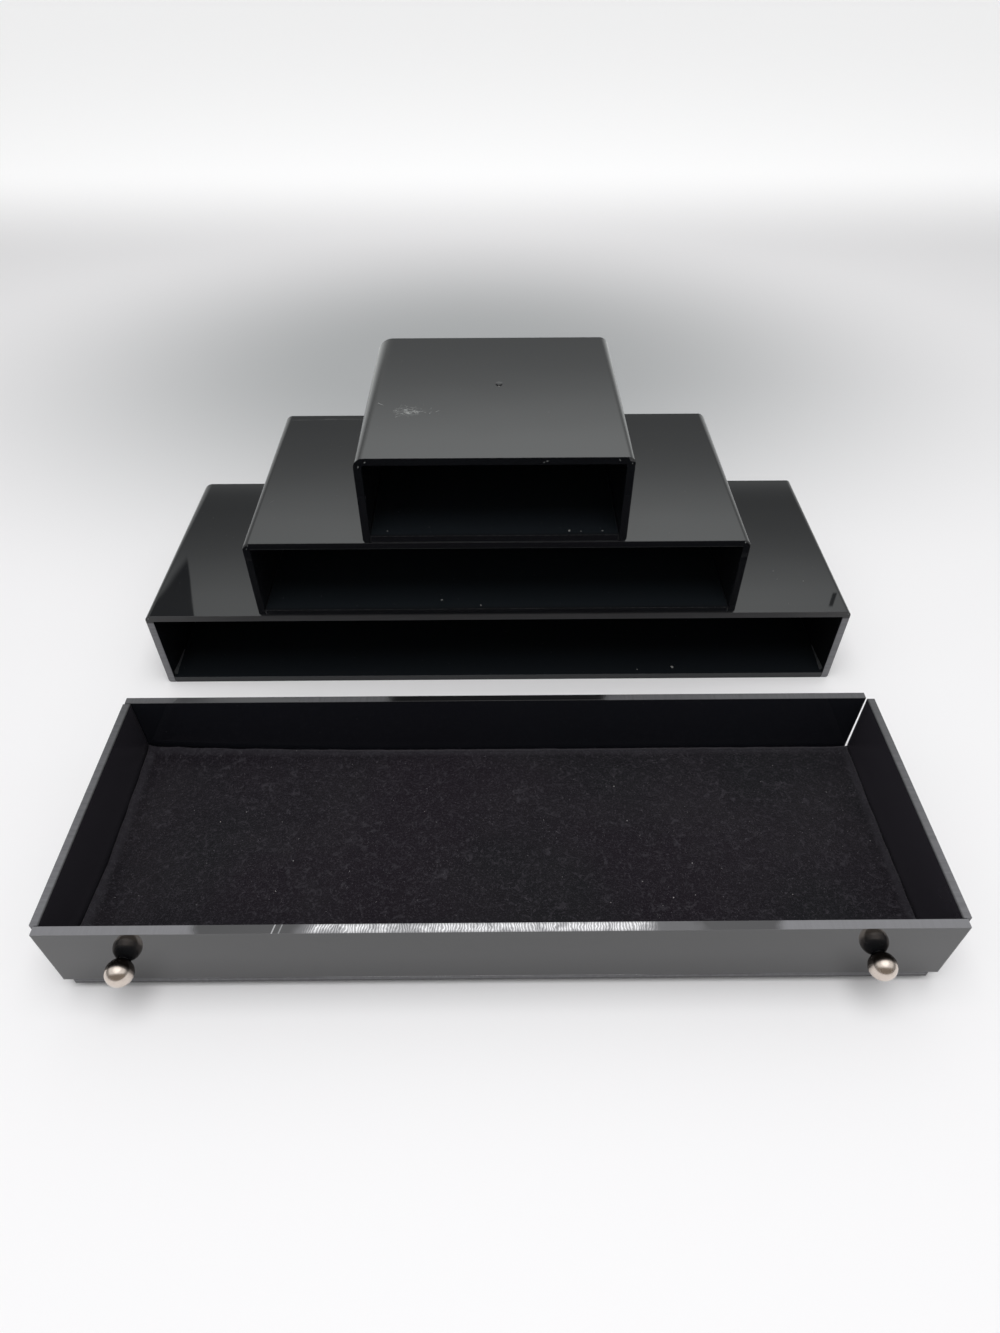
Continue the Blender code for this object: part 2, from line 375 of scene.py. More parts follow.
def makeCameraFlag(look):
    aim = Vector(look["aim"]) - Vector(look["place"])
    place = Matrix.Translation(look["place"]) @ aim.to_track_quat("-Z", "Y").to_matrix().to_4x4()
    flag = stagePlane("cameraFlag", place @ Matrix.Diagonal((look["width"], look["height"], 1, 1)))
    material, tree, emission = emissionMaterial("darkFlag", look["tint"])
    setSockets(tree, emission, {"Strength": look["strength"]})
    # an ellipse that fades to nothing at its rim
    middle = (0.5, 0.5, 0.0)
    radius = (Place(addNode(tree, "ShaderNodeTexCoord"), "UV") - middle).length()
    solid = radius.smooth(0.5, 0.5 * (1 - look["softRim"]))
    clear = addNode(tree, "ShaderNodeBsdfTransparent")
    blend = addNode(tree, "ShaderNodeMixShader", {0: solid, 1: Value(clear), 2: Value(emission)})
    tree.links.new(blend.outputs[0], tree.nodes["Material Output"].inputs["Surface"])
    flag.data.materials.append(material)
    onlyInReflections(flag)


makeFloor(studio)
makeLights(studio)
makeBackCard(backCard)
makeCameraFlag(cameraFlag)
print("studio lit")


# shared shader groups
def cutFaces(place, low, high, skip, width):
    # closeness to the faces of a box; skip is added to the distances, so a skipped axis never counts
    x, y, z = ((place - low).lowest(high - place) + skip).axes()
    return (x.lowest(y.lowest(z)) / width).smooth(1.0, 0.4)


def arrisWear(place, low, high, width):
    # closeness to the edges of a box: the middle one of the three distances is small
    x, y, z = (place - low).lowest(high - place).axes()
    middle = x.lowest(y).highest(x.highest(y).lowest(z))
    broken = place.noise(900.0, 3.0, 0.6).smooth(0.35, 0.62)
    return (middle / width).smooth(1.0, 0.2) * broken


def dustSpecks(place, scale, size):
    # small round specks of mixed size
    cells = addNode(place.tree, "ShaderNodeTexVoronoi", {"Vector": place, "Scale": scale, "Randomness": 1.0})
    radius = size * Place(cells, "Color").axes()[0].calc("POWER", 3.0)
    return (Value(cells, "Distance") / radius.highest(0.001)).smooth(1.0, 0.6)


def sawMarks(place, pitch):
    # marks of the saw across a cut edge
    return place.scaled(pitch).noise(1.0, 3.0, 0.7)


boxInputs = {"Low": (0, 0, 0), "High": (0, 0, 0)}
cutFacesGroup = newGroup(cutFaces, "Mask", {**boxInputs, "Skip": (0, 0, 0), "Width": 0.0003})
arrisWearGroup = newGroup(arrisWear, "Mask", {**boxInputs, "Width": 0.0004})
dustSpecksGroup = newGroup(dustSpecks, "Mask", {"Scale": 400.0, "Size": 0.1})
sawMarksGroup = newGroup(sawMarks, "Height", {"Pitch": (900, 60, 60)})
print("shader groups made")


# black acrylic
acrylic = {
    "black": (0.0060, 0.0064, 0.0076, 1.0),
    "dust": (0.17, 0.17, 0.165, 1.0),
    "scuff": (0.11, 0.115, 0.12, 1.0),
    "sawn": (0.105, 0.105, 0.112),
    # white of the tool marks on the cut edges: painted glints
    "glintWhite": (0.88, 0.88, 0.90, 1.0),
    "bendFilm": (0.0120, 0.0123, 0.0130, 1.0),
    "frostColour": (0.25, 0.26, 0.255, 1.0),
    "arris": 0.0004,
    "skipped": 1.0,
    "zoneBlend": 0.0035,
    # the tool marks' spacing, the edge's middle, where they fade across it and how they lean at the left
    "chatterPitch": 0.00090, "chatterMiddle": -0.1970, "chatterDepth": (0.0016, 0.0007),
    "leanSpan": (-0.030, -0.066), "leanMost": 0.24,
    # how far they drift from even spacing, and their strength and least level in marked and plain patches
    "chatterDrift": 17.0, "chatterMarked": (0.58, 0.34), "chatterPlain": (0.30, 0.12),
    # how far the ends of the bright stretches wander, and how uneven the saw left the edges
    "zoneWander": 0.012, "sawnSpread": 0.2, "sawnHeight": 0.12,
    # where one look gives way to the next near a wall's inner face, a bend's start and a bay's front
    "outerSpan": (0.0002, 0.0007), "innerSpan": (0.0004, 0.0001), "bendSpan": (0.0002, 0.0010),
    "filmStart": 0.0003,
    "bump": (0.00035, 0.35),
    "bendHaze": 0.16, "innerRough": 0.2, "wearRough": 0.2, "speckRough": 0.5, "frostRough": 0.4,
}
plainPanel = {
    "sawnAxes": "", "sawnShare": 1.0, "sawnFoot": 1.0, "footBlend": 0.0, "sawnDepth": 1.0,
    "grain": (900, 60, 60), "sawnNear": 1.0, "sawnFar": 1.0, "inner": 0.0,
    "dust": 0.05, "smudge": 0.05, "wear": 0.4, "refraction": 1.49, "gloss": 0.035,
    "film": (0.0060, 0.0064, 0.0076, 1.0), "filmFootPaintedShade": 1.0, "filmNear": 0.0, "glossZones": (), "chatter": (),
    "tickGlints": (), "bendWidths": (), "frost": (),
}


def zoneMask(along, span, blend):
    return along.smooth(span[0] - blend, span[0] + blend) * along.smooth(span[1] + blend, span[1] - blend)


def chatterFrostAndGlints(place, across, depth, span, blend):
    # fine tool marks across the edge, stronger in some patches; their white is painted glints
    look = acrylic
    drift = place.noise(300.0, 2.0, 0.6) * look["chatterDrift"]
    phase = across * (2 * math.pi / look["chatterPitch"]) + drift
    stripes = phase.calc("SINE").smooth(-0.4, 0.9)
    patches = place.noise(190.0, 2.0, 0.6).smooth(0.36, 0.54)
    (strong, strongLeast), (weak, weakLeast) = look["chatterMarked"], look["chatterPlain"]
    marked = patches * (stripes * strong + strongLeast)
    plain = (1.0 - patches) * (stripes * weak + weakLeast)
    inwards = abs(depth).smooth(*look["chatterDepth"])
    return zoneMask(across, span, blend) * (inwards * 0.5 + 0.5) * (marked + plain)


def bendMask(axes, low, high, side, nearWidth, farWidth):
    # the heated bend along one side of a sheet, without its cut end
    x, y, z = axes
    width = y.ramp(low.y, high.y, nearWidth, farWidth)
    inwards = (abs(x - side) / width).smooth(1.0, 0.72)
    below = ((high.z - z) / width).smooth(1.5, 1.0)
    return inwards * below * y.smooth(*(low.y + step for step in acrylic["bendSpan"]))


def rubbedPatch(place, centre, half):
    near = ((place - centre) / half).length().smooth(1.0, 0.15)
    return near * place.scaled((420, 900, 900), (0, 0, 0.5)).noise(1.0, 4.0, 0.7).smooth(0.47, 0.66)


def sawnEdges(tree, place, axes, low, high, finish):
    # mask, colour, roughness and height of the cut edges
    look, depth = acrylic, finish["sawnDepth"]
    x, y, z = axes
    skip = tuple(0.0 if axis in finish["sawnAxes"] else look["skipped"] for axis in "xyz")
    sawn = useGroup(tree, cutFacesGroup, {"Low": tuple(low), "High": tuple(high), "Skip": skip})
    marks = useGroup(tree, sawMarksGroup, {"Pitch": finish["grain"]})
    spread, share = look["sawnSpread"] * depth, finish["sawnShare"]
    tone = marks.ramp(0.3, 0.7, (1 - spread) * share, (1 + spread) * share)
    if finish["footBlend"]:
        upper = z.smooth(high.z - finish["footBlend"] * 1.2, high.z - finish["footBlend"])
        tone = tone * (upper * (1 - finish["sawnFoot"]) + finish["sawnFoot"])
    if finish["inner"]:
        # the wall edges are paler towards the front and dark along the tray
        outer = abs(x).smooth(*(finish["inner"] + step for step in look["outerSpan"]))
        tone = tone * y.ramp(low.y, high.y, finish["sawnNear"], finish["sawnFar"]) * (outer * 0.7 + 0.3)
    colour = Place(addNode(tree, "ShaderNodeVectorMath", {0: look["sawn"], "Scale": tone}, operation="SCALE"))
    rough, height = 0.5, marks * sawn * (look["sawnHeight"] * depth)

    along = place.noise(130.0) * look["zoneWander"] + (x - look["zoneWander"] / 2)
    for span, level in finish["glossZones"]:
        zone = zoneMask(along, span, look["zoneBlend"])
        colour = zone.mix(colour, tuple(level * part for part in look["sawn"]) + (1.0,))
        rough = zone * -0.36 + rough
    inwards = y - look["chatterMiddle"]
    across = x - x.smooth(*look["leanSpan"]) * inwards * look["leanMost"]
    # single tool marks, painted white as glints
    for middle, half, level in finish["tickGlints"]:
        tickGlint = abs(across - middle).smooth(half, half * 0.4)
        colour = (tickGlint * level).mix(colour, look["glintWhite"])
    for span, blend in finish["chatter"]:
        # tool marks: painted glints in the colour, with real roughness and grooves
        frost = chatterFrostAndGlints(place, across, inwards, span, blend)
        colour = frost.mix(colour, look["glintWhite"])
        rough = frost * 0.35 + rough
        height = frost * 0.4 + height
    return sawn, colour, rough, height


def acrylicMaterial(name, low, high, **changes):
    look, finish = acrylic, {**plainPanel, **changes}
    material, tree, shader = newMaterial(name)
    place = objectPlace(tree)
    axes = place.axes()
    x, y, z = axes
    smears = place.noise(14.0, 3.0, 0.55, 0.6)
    specks = useGroup(tree, dustSpecksGroup, {"Scale": 560.0, "Size": finish["dust"]})
    wear = useGroup(tree, arrisWearGroup, {"Low": tuple(low), "High": tuple(high), "Width": look["arris"]})

    # a thin dull film over the black, on some panels thinner towards the foot: that darker foot is painted
    # shade
    film = z.ramp(low.z, high.z, finish["filmFootPaintedShade"], 1.0) * smears.ramp(0.25, 0.75, 0.86, 1.0)
    rough = smears.smooth(0.42, 0.72) * finish["smudge"] + finish["gloss"]
    if finish["filmNear"]:
        # only the faces inside the bay are dusty
        film = film * y.smooth(low.y + look["filmStart"], low.y + finish["filmNear"])
    if finish["inner"]:
        inside = abs(x).smooth(*(finish["inner"] + step for step in look["innerSpan"]))
        film = film * inside
        rough = inside * look["innerRough"] + rough
    colour = film.mix(look["black"], finish["film"])
    colour = (wear * finish["wear"]).mix(colour, look["scuff"])
    colour = specks.mix(colour, look["dust"])
    rough = wear * look["wearRough"] + rough
    for bend in finish["bendWidths"]:
        bent = bendMask(axes, low, high, *bend)
        rough = bent * look["bendHaze"] + rough
        colour = bent.mix(colour, look["bendFilm"])
    for patch in finish["frost"]:
        rubbed = rubbedPatch(place, *patch)
        colour = rubbed.mix(colour, look["frostColour"])
        rough = rubbed * look["frostRough"] + rough
    rough = specks * look["speckRough"] + rough
    height = specks * 0.05 + place.noise(22.0, 1.0)
    if finish["sawnAxes"]:
        sawn, sawnColour, sawnRough, sawnHeight = sawnEdges(tree, place, axes, low, high, finish)
        colour = sawn.mix(colour, sawnColour)
        rough = rough.highest(sawn * sawnRough)
        height = height + sawnHeight
    setSockets(tree, shader, {
        "Base Color": colour,
        "Roughness": rough,
        "IOR": finish["refraction"],
        "Normal": height.bump(*look["bump"]),
    })
    return material


def softenArrises(obj, width):
    weld = obj.modifiers.new("joinCorners", "WELD")
    weld.merge_threshold = 0.00001
    flatten = obj.modifiers.new("wholeFaces", "DECIMATE")
    flatten.decimate_type = "DISSOLVE"
    flatten.angle_limit = math.radians(1)
    bevel = obj.modifiers.new("softArris", "BEVEL")
    bevel.width = width
    bevel.segments = 2
    bevel.limit_method = "ANGLE"
    bevel.angle_limit = math.radians(50)


def finishPart(part, material, arris):
    nodes[part].data.materials.clear()
    nodes[part].data.materials.append(material)
    softenArrises(nodes[part], arris)


bayFinish = {"dust": 0.06, "wear": 0.1, "film": (0.0100, 0.0126, 0.0150, 1.0)}
casePanels = {
    "lower_floor": {**bayFinish, "film": (0.0078, 0.0096, 0.0115, 1.0)},
    "middle_floor": {**bayFinish, "filmNear": 0.002},
    "upper_floor": {**bayFinish, "filmNear": 0.002},
}
alongX, alongY = (900, 60, 60), (60, 900, 60)
wallFinish = {
    # the film thins a little towards the foot: painted shade
    "sawnAxes": "yz", "grain": alongY, "film": (0.029, 0.0268, 0.0330, 1.0), "filmFootPaintedShade": 0.85,
    "inner": 0.145, "sawnNear": 1.18, "sawnFar": 0.60,
}
drawerPanels = {
    "drawer_front": {
        "sawnAxes": "xz", "grain": alongX, "sawnShare": 1.40, "sawnDepth": 0.35, "refraction": 1.64,
        # the film fades out towards the foot: painted shade
        "film": (0.0125, 0.0129, 0.0140, 1.0), "filmFootPaintedShade": 0.0,
        # where the cut edge is glossy and how bright it is there
        "glossZones": (((-0.0960, -0.0615), 0.30), ((-0.0640, 0.0500), 1.0), ((0.0480, 0.0600), 0.8),
                       ((0.0600, 0.0880), 0.34)),
        # two single tool marks, painted as glints
        "tickGlints": ((-0.0711, 0.0003, 0.36), (-0.0689, 0.0003, 0.20)),
        "chatter": (((-0.0600, 0.0472), 0.0025),),
    },
    "drawer_left_wall": wallFinish,
    "drawer_right_wall": {**wallFinish, "film": (0.0385, 0.0352, 0.0435, 1.0)},
    "drawer_floor": {"sawnAxes": "xy", "grain": alongX, "sawnFoot": 0.5, "footBlend": 0.0011},
}
for panels, arris in ((casePanels, 0.0001), (drawerPanels, 0.0002)):
    for panel, finish in panels.items():
        finishPart(panel, acrylicMaterial(panel + "Acrylic", *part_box(panel), **finish), arris)
print("flat panels finished")


# mesh helpers
def addPiece(name, bm, material, body, smoothAngle=40.0, replaced=None):
    mesh = bpy.data.meshes.new(name)
    bm.to_mesh(mesh)
    bm.free()
    mesh.materials.append(material)
    mesh.shade_smooth()
    mesh.set_sharp_from_angle(angle=math.radians(smoothAngle))
    piece = bpy.data.objects.new(name, mesh)
    bpy.context.collection.objects.link(piece)
    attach(piece, body)
    if replaced:
        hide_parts(replaced)
    return piece


def keepFlat(piece):
    # the large faces mirror straight lines in spite of their rounded edges
    weighted = piece.modifiers.new("flatFaces", "WEIGHTED_NORMAL")
    weighted.keep_sharp = True


def addBox(bm, low, high):
    low, high = Vector(low), Vector(high)
    size = Matrix.Diagonal((*(high - low), 1.0))
    bmesh.ops.create_cube(bm, size=1.0, matrix=Matrix.Translation((low + high) / 2) @ size)


def bevelEdges(bm, edges, width, segments):
    bmesh.ops.bevel(bm, geom=edges, offset=width, offset_type="OFFSET", segments=segments,
                    profile=0.5, affect="EDGES", material=-1, clamp_overlap=True)


# the drawer's back panel, which stands off the right wall by less at its top
drawerBack = {
    "topReach": 0.00115, "footReach": 0.00085,
    "arris": 0.0002,
    "finish": {
        "sawnAxes": "xz", "grain": alongX, "sawnShare": 0.62, "film": (0.0095, 0.0102, 0.0135, 1.0),
        "glossZones": (((-0.1300, -0.0780), 0.42), ((-0.0450, 0.0430), 0.08)),
    },
}


def makeDrawerBack(look):
    low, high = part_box("drawer_back")
    reached = high + Vector(((look["topReach"] + look["footReach"]) / 2, 0, 0))
    material = acrylicMaterial("drawerBackAcrylic", low, reached, **look["finish"])
    bm = bmesh.new()
    addBox(bm, low, high)
    for vert in bm.verts:
        if vert.co.x > 0:
            vert.co.x += look["topReach"] if vert.co.z > (low.z + high.z) / 2 else look["footReach"]
    bevelEdges(bm, list(bm.edges), look["arris"], 2)
    keepFlat(addPiece("drawer_back_panel", bm, material, "drawer", replaced="drawer_back"))


makeDrawerBack(drawerBack)
print("drawer back made")


# bent covers of the three boxes
cover = {
    "sheet": 0.003,
    # radius of the left and the right bend at the front, and at the back
    "bends": {"lower": (0.0022, 0.0022), "middle": (0.0032, 0.0030), "upper": (0.0042, 0.0028)},
    "backBends": {"lower": (0.0050, 0.0024), "middle": (0.0034, 0.0036), "upper": (0.0078, 0.0042)},
    # how far the left side leans out at its top back corner
    "flare": {"lower": 0.0, "middle": 0.0, "upper": 0.0010},
    # the smallest inner bend, and how much tighter the back panels' corners are than the bends around them
    "tightest": 0.0005, "cornerEase": 0.0007, "leastCorner": 0.0003,
    "bendSteps": 14, "cornerSteps": 10, "footSteps": 4,
    "footRound": 0.0012,
    "arris": 0.00022, "panelArris": 0.0001,
    "sharp": 60.0,
    "plain": {"dust": 0.055, "smudge": 0.02, "wear": 0.15, "gloss": 0.018},
    "finish": {
        "lower": {"sawnAxes": "y", "sawnShare": 0.24, "sawnFoot": 6.0, "footBlend": 0.0034,
                  "grain": (60, 60, 900)},
        "middle": {},
        "upper": {"frost": [((-0.0352, -0.0166, 0.1158), (0.0075, 0.0042, 0.01))]},
    },
}
atPoint = 0.0005  # how close an edge has to be to count as the one looked for


def openBend(bm, corner, inwards, radius, backRadius):
    # widens or tightens a finished bend at the back end of the sheet
    grow = backRadius / radius
    for vert in bm.verts:
        inside, below = (vert.co.x - corner[0]) * inwards, corner[2] - vert.co.z
        onArc = abs(math.hypot(inside - radius, below - radius) - radius) < 1e-6 + radius * 0.02
        if onArc and abs(vert.co.y - corner[1]) < 1e-5 and max(inside, below) < radius + 1e-6:
            vert.co.x = corner[0] + (vert.co.x - corner[0]) * grow
            vert.co.z = corner[2] - below * grow


def leanSide(bm, tier, look):
    # the left side leans out towards its top back corner
    low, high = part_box(tier + "_shell")
    for vert in bm.verts:
        along, up = (vert.co.y - low.y) / (high.y - low.y), (vert.co.z - low.z) / (high.z - low.z)
        if vert.co.x < (low.x + high.x) / 2 and along > 0 and up > 0:
            vert.co.x -= look["flare"][tier] * along ** 1.5 * up


def edgesAlongY(bm, x, z):
    found = []
    for edge in bm.edges:
        start, end = (vert.co for vert in edge.verts)
        middle = (start + end) / 2
        straight = abs(start.x - end.x) < 1e-6 > abs(start.z - end.z)
        if straight and abs(middle.x - x) < atPoint and abs(middle.z - z) < atPoint:
            found.append(edge)
    return found


def sharpEdges(bm, angle):
    return [edge for edge in bm.edges
            if len(edge.link_faces) == 2 and edge.calc_face_angle() > math.radians(angle)]


def makeCover(tier, look):
    name, node, sheet = tier + "_cover", tier + "_shell", look["sheet"]
    low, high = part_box(node)
    widths = list(zip((low.x, high.x), look["bends"][tier], look["backBends"][tier]))
    bm = bmesh.new()
    addBox(bm, low, high)
    openings = [face for face in bm.faces if abs(face.normal.y) > 0.5 or face.normal.z < -0.5]
    bmesh.ops.delete(bm, geom=openings, context="FACES")
    bmesh.ops.solidify(bm, geom=list(bm.faces), thickness=sheet)
    bmesh.ops.recalc_face_normals(bm, faces=bm.faces)
    for inwards, (side, bend, backBend) in zip((1, -1), widths):
        innerBend, innerBack = max(bend - sheet, look["tightest"]), max(backBend - sheet, look["tightest"])
        innerSide, innerTop = side + inwards * sheet, high.z - sheet
        bevelEdges(bm, edgesAlongY(bm, side, high.z), bend, look["bendSteps"])
        bevelEdges(bm, edgesAlongY(bm, innerSide, innerTop), innerBend, look["bendSteps"])
        openBend(bm, (side, high.y, high.z), inwards, bend, backBend)
        openBend(bm, (innerSide, high.y, innerTop), inwards, innerBend, innerBack)
    feet = [edge for side in (low.x, high.x) for edge in edgesAlongY(bm, side, low.z)]
    bevelEdges(bm, feet, look["footRound"], look["footSteps"])
    bevelEdges(bm, sharpEdges(bm, look["sharp"]), look["arris"], 2)
    leanSide(bm, tier, look)
    finish = {**look["plain"], **look["finish"][tier]}
    material = acrylicMaterial(name + "Acrylic", low, high, bendWidths=widths, **finish)
    keepFlat(addPiece(name, bm, material, "case", replaced=node))


def makeBackPanel(tier, look):
    # its top corners are rounded to sit inside the bent cover
    name, node = tier + "_back_panel", tier + "_back"
    low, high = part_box(node)
    bm = bmesh.new()
    addBox(bm, low, high)
    for side, radius in zip((low.x, high.x), look["backBends"][tier]):
        corner = max(radius - look["sheet"] - look["cornerEase"], look["leastCorner"])
        bevelEdges(bm, edgesAlongY(bm, side, high.z), corner, look["cornerSteps"])
    bevelEdges(bm, sharpEdges(bm, look["sharp"]), look["panelArris"], 2)
    leanSide(bm, tier, look)
    material = acrylicMaterial(name + "Acrylic", low, high, **bayFinish)
    keepFlat(addPiece(name, bm, material, "case", replaced=node))


for tier in cover["bends"]:
    makeCover(tier, cover)
    makeBackPanel(tier, cover)
print("bent covers made")


# ball knobs
knob = {
    "radius": 0.0046,
    "around": 96, "across": 64,
    "boreRadius": 0.0018, "boreDepth": 0.0046,
    "metal": (0.70, 0.62, 0.555, 1.0),
    "stain": (0.40, 0.34, 0.29, 1.0),
    "cloudStain": 0.22, "pitStain": 0.6, "leastRough": 0.20, "cloudRough": 0.10,
    # painted shade: the darker half that faces the drawer, and where it starts from the middle
    "paintedRearShade": (0.17, 0.146, 0.132, 1.0), "rearShadeFrom": -0.0012, "rearShadeTo": 0.0006,
}


def nickelMaterial(look):
    material, tree, shader = newMaterial("polishedNickel")
    place = objectPlace(tree)
    cloud = place.noise(420.0, 4.0, 0.6).smooth(0.45, 0.75)
    pits = useGroup(tree, dustSpecksGroup, {"Scale": 1500.0, "Size": 0.3})
    stain = (cloud * look["cloudStain"]).highest(pits * look["pitStain"])
    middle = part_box("left_knob")[0].y + look["radius"]
    # painted shade on the rear half, for the dark panel it mirrors
    shadedRear = place.axes()[1].smooth(middle + look["rearShadeFrom"], middle + look["rearShadeTo"])
    setSockets(tree, shader, {
        "Base Color": shadedRear.mix(stain.mix(look["metal"], look["stain"]), look["paintedRearShade"]),
        "Metallic": 1.0,
        "Roughness": cloud * look["cloudRough"] + look["leastRough"],
        "Normal": place.noise(700.0).bump(0.00002, 0.5),
    })
    return material


def makeKnob(name, node, look, material):
    low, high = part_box(node)
    centre = Vector(((low.x + high.x) / 2, low.y + look["radius"], (low.z + high.z) / 2))
    place = Matrix.Translation(centre) @ Matrix.Rotation(math.pi / 2, 4, "X")
    bm = bmesh.new()
    bmesh.ops.create_uvsphere(bm, u_segments=look["around"], v_segments=look["across"],
                              radius=look["radius"], matrix=place)
    cut = bmesh.ops.bisect_plane(bm, geom=list(bm.verts) + list(bm.edges) + list(bm.faces),
                                 plane_co=(0, high.y, 0), plane_no=(0, 1, 0), clear_outer=True)
    rim = [item for item in cut["geom_cut"] if isinstance(item, bmesh.types.BMEdge)]
    seat = bmesh.ops.contextual_create(bm, geom=rim)["faces"]
    seatRadius = max((vert.co - Vector((centre.x, high.y, centre.z))).length for vert in seat[0].verts)
    bmesh.ops.inset_region(bm, faces=seat, thickness=seatRadius - look["boreRadius"])
    sunk = bmesh.ops.extrude_discrete_faces(bm, faces=seat)["faces"]
    bmesh.ops.translate(bm, verts=list(sunk[0].verts), vec=(0, -look["boreDepth"], 0))
    bmesh.ops.recalc_face_normals(bm, faces=bm.faces)
    addPiece(name, bm, material, "drawer", 40.0, node)


nickel = nickelMaterial(knob)
makeKnob("left_ball_knob", "left_knob", knob, nickel)
makeKnob("right_ball_knob", "right_knob", knob, nickel)
print("knobs polished")


# screws behind the front panel
def steelMaterial():
    material, tree, shader = newMaterial("zincSteel")
    rings = objectPlace(tree).scaled((900, 4000, 900)).noise(1.0)
    setSockets(tree, shader, {
        "Base Color": rings.mix((0.42, 0.42, 0.43, 1), (0.62, 0.62, 0.62, 1)),
        "Metallic": 1.0,
        "Roughness": rings.ramp(0.2, 0.8, 0.24, 0.42),
        "Normal": rings.bump(0.00002, 0.5),
    })
    return material


steel = steelMaterial()
for screw in ("left_knob_screw", "right_knob_screw"):
    finishPart(screw, steel, 0.00005)
print("screws finished")


# felt liner
feltPlan = {
    "left": -0.1449, "right": 0.1449, "near": -0.1949, "far": -0.1005,
    "base": 0.0059, "thick": 0.0012,
    "cellsX": 240, "cellsY": 80,
    "curlWidth": 0.009,
    "leftMiddle": 0.003, "leftBack": 0.0052, "leftFront": 0.009,
    "rightBack": 0.0006, "rightFront": 0.0034,
    "backLeft": 0.0050, "backLength": 0.12,
    "wander": 0.00025, "lumps": 0.00010, "sag": 0.00022,
    # the pile's colours, and its paler rim
    "plum": (0.0062, 0.0042, 0.0070, 1), "slate": (0.0046, 0.0050, 0.0062, 1),
    "worn": (0.0095, 0.0084, 0.0104, 1), "clump": (0.028, 0.026, 0.031, 1), "fibre": (0.046, 0.042, 0.050, 1),
    "rimColour": (0.034, 0.032, 0.038, 1), "rimWidth": 0.0042,
}
middleX, halfX = (feltPlan["left"] + feltPlan["right"]) / 2, (feltPlan["right"] - feltPlan["left"]) / 2
middleY, halfY = (feltPlan["near"] + feltPlan["far"]) / 2, (feltPlan["far"] - feltPlan["near"]) / 2


def feltRise(x, y, look):
    def curlShare(distance):
        return max(0.0, 1.0 - distance / look["curlWidth"]) ** 2

    along = (y - look["near"]) / (look["far"] - look["near"])
    leftEnd = look["leftBack"] if along > 0.5 else look["leftFront"]
    leftRise = look["leftMiddle"] + (leftEnd - look["leftMiddle"]) * (2 * along - 1) ** 2
    rightRise = look["rightBack"] + (look["rightFront"] - look["rightBack"]) * (1 - along) ** 2
    backRise = look["backLeft"] * max(0.0, 1 - (x - look["left"]) / look["backLength"]) ** 2
    left = leftRise * curlShare(x - look["left"])
    right = rightRise * curlShare(look["right"] - x)
    back = backRise * curlShare(look["far"] - y)
    return (left ** 5 + back ** 5) ** 0.2 + right


def feltPlace(across, deep, look):
    # underside of the cloth for a place from -1 to 1 both ways
    waveX = look["wander"] * abs(across) ** 6 * (noise.noise(Vector((deep * 6, across, 1.3))) - 0.5)
    waveY = look["wander"] * abs(deep) ** 6 * (noise.noise(Vector((across * 18, deep, 5.9))) - 0.5)
    x = middleX + across * (halfX + waveX)
    y = middleY + deep * (halfY + waveY)
    broad = noise.noise(Vector((x * 25, y * 25, 3.1)))
    fine = noise.noise(Vector((x * 420, y * 420, 7.7)))
    z = look["base"] + feltRise(x, y, look) + look["sag"] * (0.5 + 0.5 * broad) + look["lumps"] * fine
    return Vector((x, y, z))


def feltTop(across, deep, look):
    # pile side of the cloth and its direction
    step = 0.004
    here = feltPlace(across, deep, look)
    right = feltPlace(across + step, deep, look) - feltPlace(across - step, deep, look)
    back = feltPlace(across, deep + step, look) - feltPlace(across, deep - step, look)
    normal = right.cross(back).normalized()
    return here + normal * look["thick"], normal


def feltMaterial(look):
    material, tree, shader = newMaterial("blackFelt")
    place = objectPlace(tree)
    fibres = place.noise(1500.0, 3.0, 0.7, 1.2)
    clumps = place.noise(330.0, 3.0, 0.65, 1.4)
    colour = place.noise(11.0).smooth(0.38, 0.62).mix(look["plum"], look["slate"])
    colour = place.noise(19.0, 3.0, 0.6, 0.4).smooth(0.40, 0.78).mix(colour, look["worn"])
    colour = clumps.smooth(0.52, 0.72).mix(colour, look["clump"])
    colour = fibres.smooth(0.52, 0.74).mix(colour, look["fibre"])
    plan = {"Low": (look["left"], look["near"], -1.0), "High": (look["right"], look["far"], 1.0)}
    rim = useGroup(tree, cutFacesGroup, {**plan, "Width": look["rimWidth"]})
    colour = (rim * clumps.ramp(0.3, 0.7, 0.3, 0.75)).mix(colour, look["rimColour"])
    setSockets(tree, shader, {
        "Base Color": colour,
        "Roughness": 0.95,
        "Specular IOR Level": 0.2,
        "Sheen Weight": 0.12,
        "Sheen Roughness": 0.5,
        "Sheen Tint": (0.8, 0.76, 0.85, 1.0),
        "Normal": (clumps * 0.8 + fibres).bump(0.00035, 0.9),
    })
    return material


def makeFelt(look):
    bm = bmesh.new()
    bmesh.ops.create_grid(bm, x_segments=look["cellsX"], y_segments=look["cellsY"], size=1.0)
    for vert in bm.verts:
        vert.co = feltPlace(vert.co.x, vert.co.y, look)
    felt = addPiece("felt_cloth", bm, feltMaterial(look), "drawer", 180.0, "felt_liner")
    thick = felt.modifiers.new("feltThickness", "SOLIDIFY")
    thick.thickness = look["thick"]
    thick.offset = 1.0
    area = sum(face.area for face in felt.data.polygons)
    print("felt area", round(area, 5), "flat length", round(area / (2 * halfX), 4))
    return felt


felt = makeFelt(feltPlan)
print("felt laid")


# strands: fuzz, lint and scuffs, drawn as thin curves and turned into one mesh
def dullMaterial(name, colour, spread, roughness=0.9):
    material, tree, shader = newMaterial(name)
    place = objectPlace(tree)
    darker = tuple(part * (1 - spread) for part in colour[:3]) + (1.0,)
    lighter = tuple(min(1.0, part * (1 + spread)) for part in colour[:3]) + (1.0,)
    setSockets(tree, shader, {
        "Base Color": place.noise(260.0).smooth(0.3, 0.7).mix(darker, lighter),
        "Roughness": roughness,
        "Specular IOR Level": 0.3,
        "Normal": place.noise(3000.0).bump(0.00003, 0.5),
    })
    return material


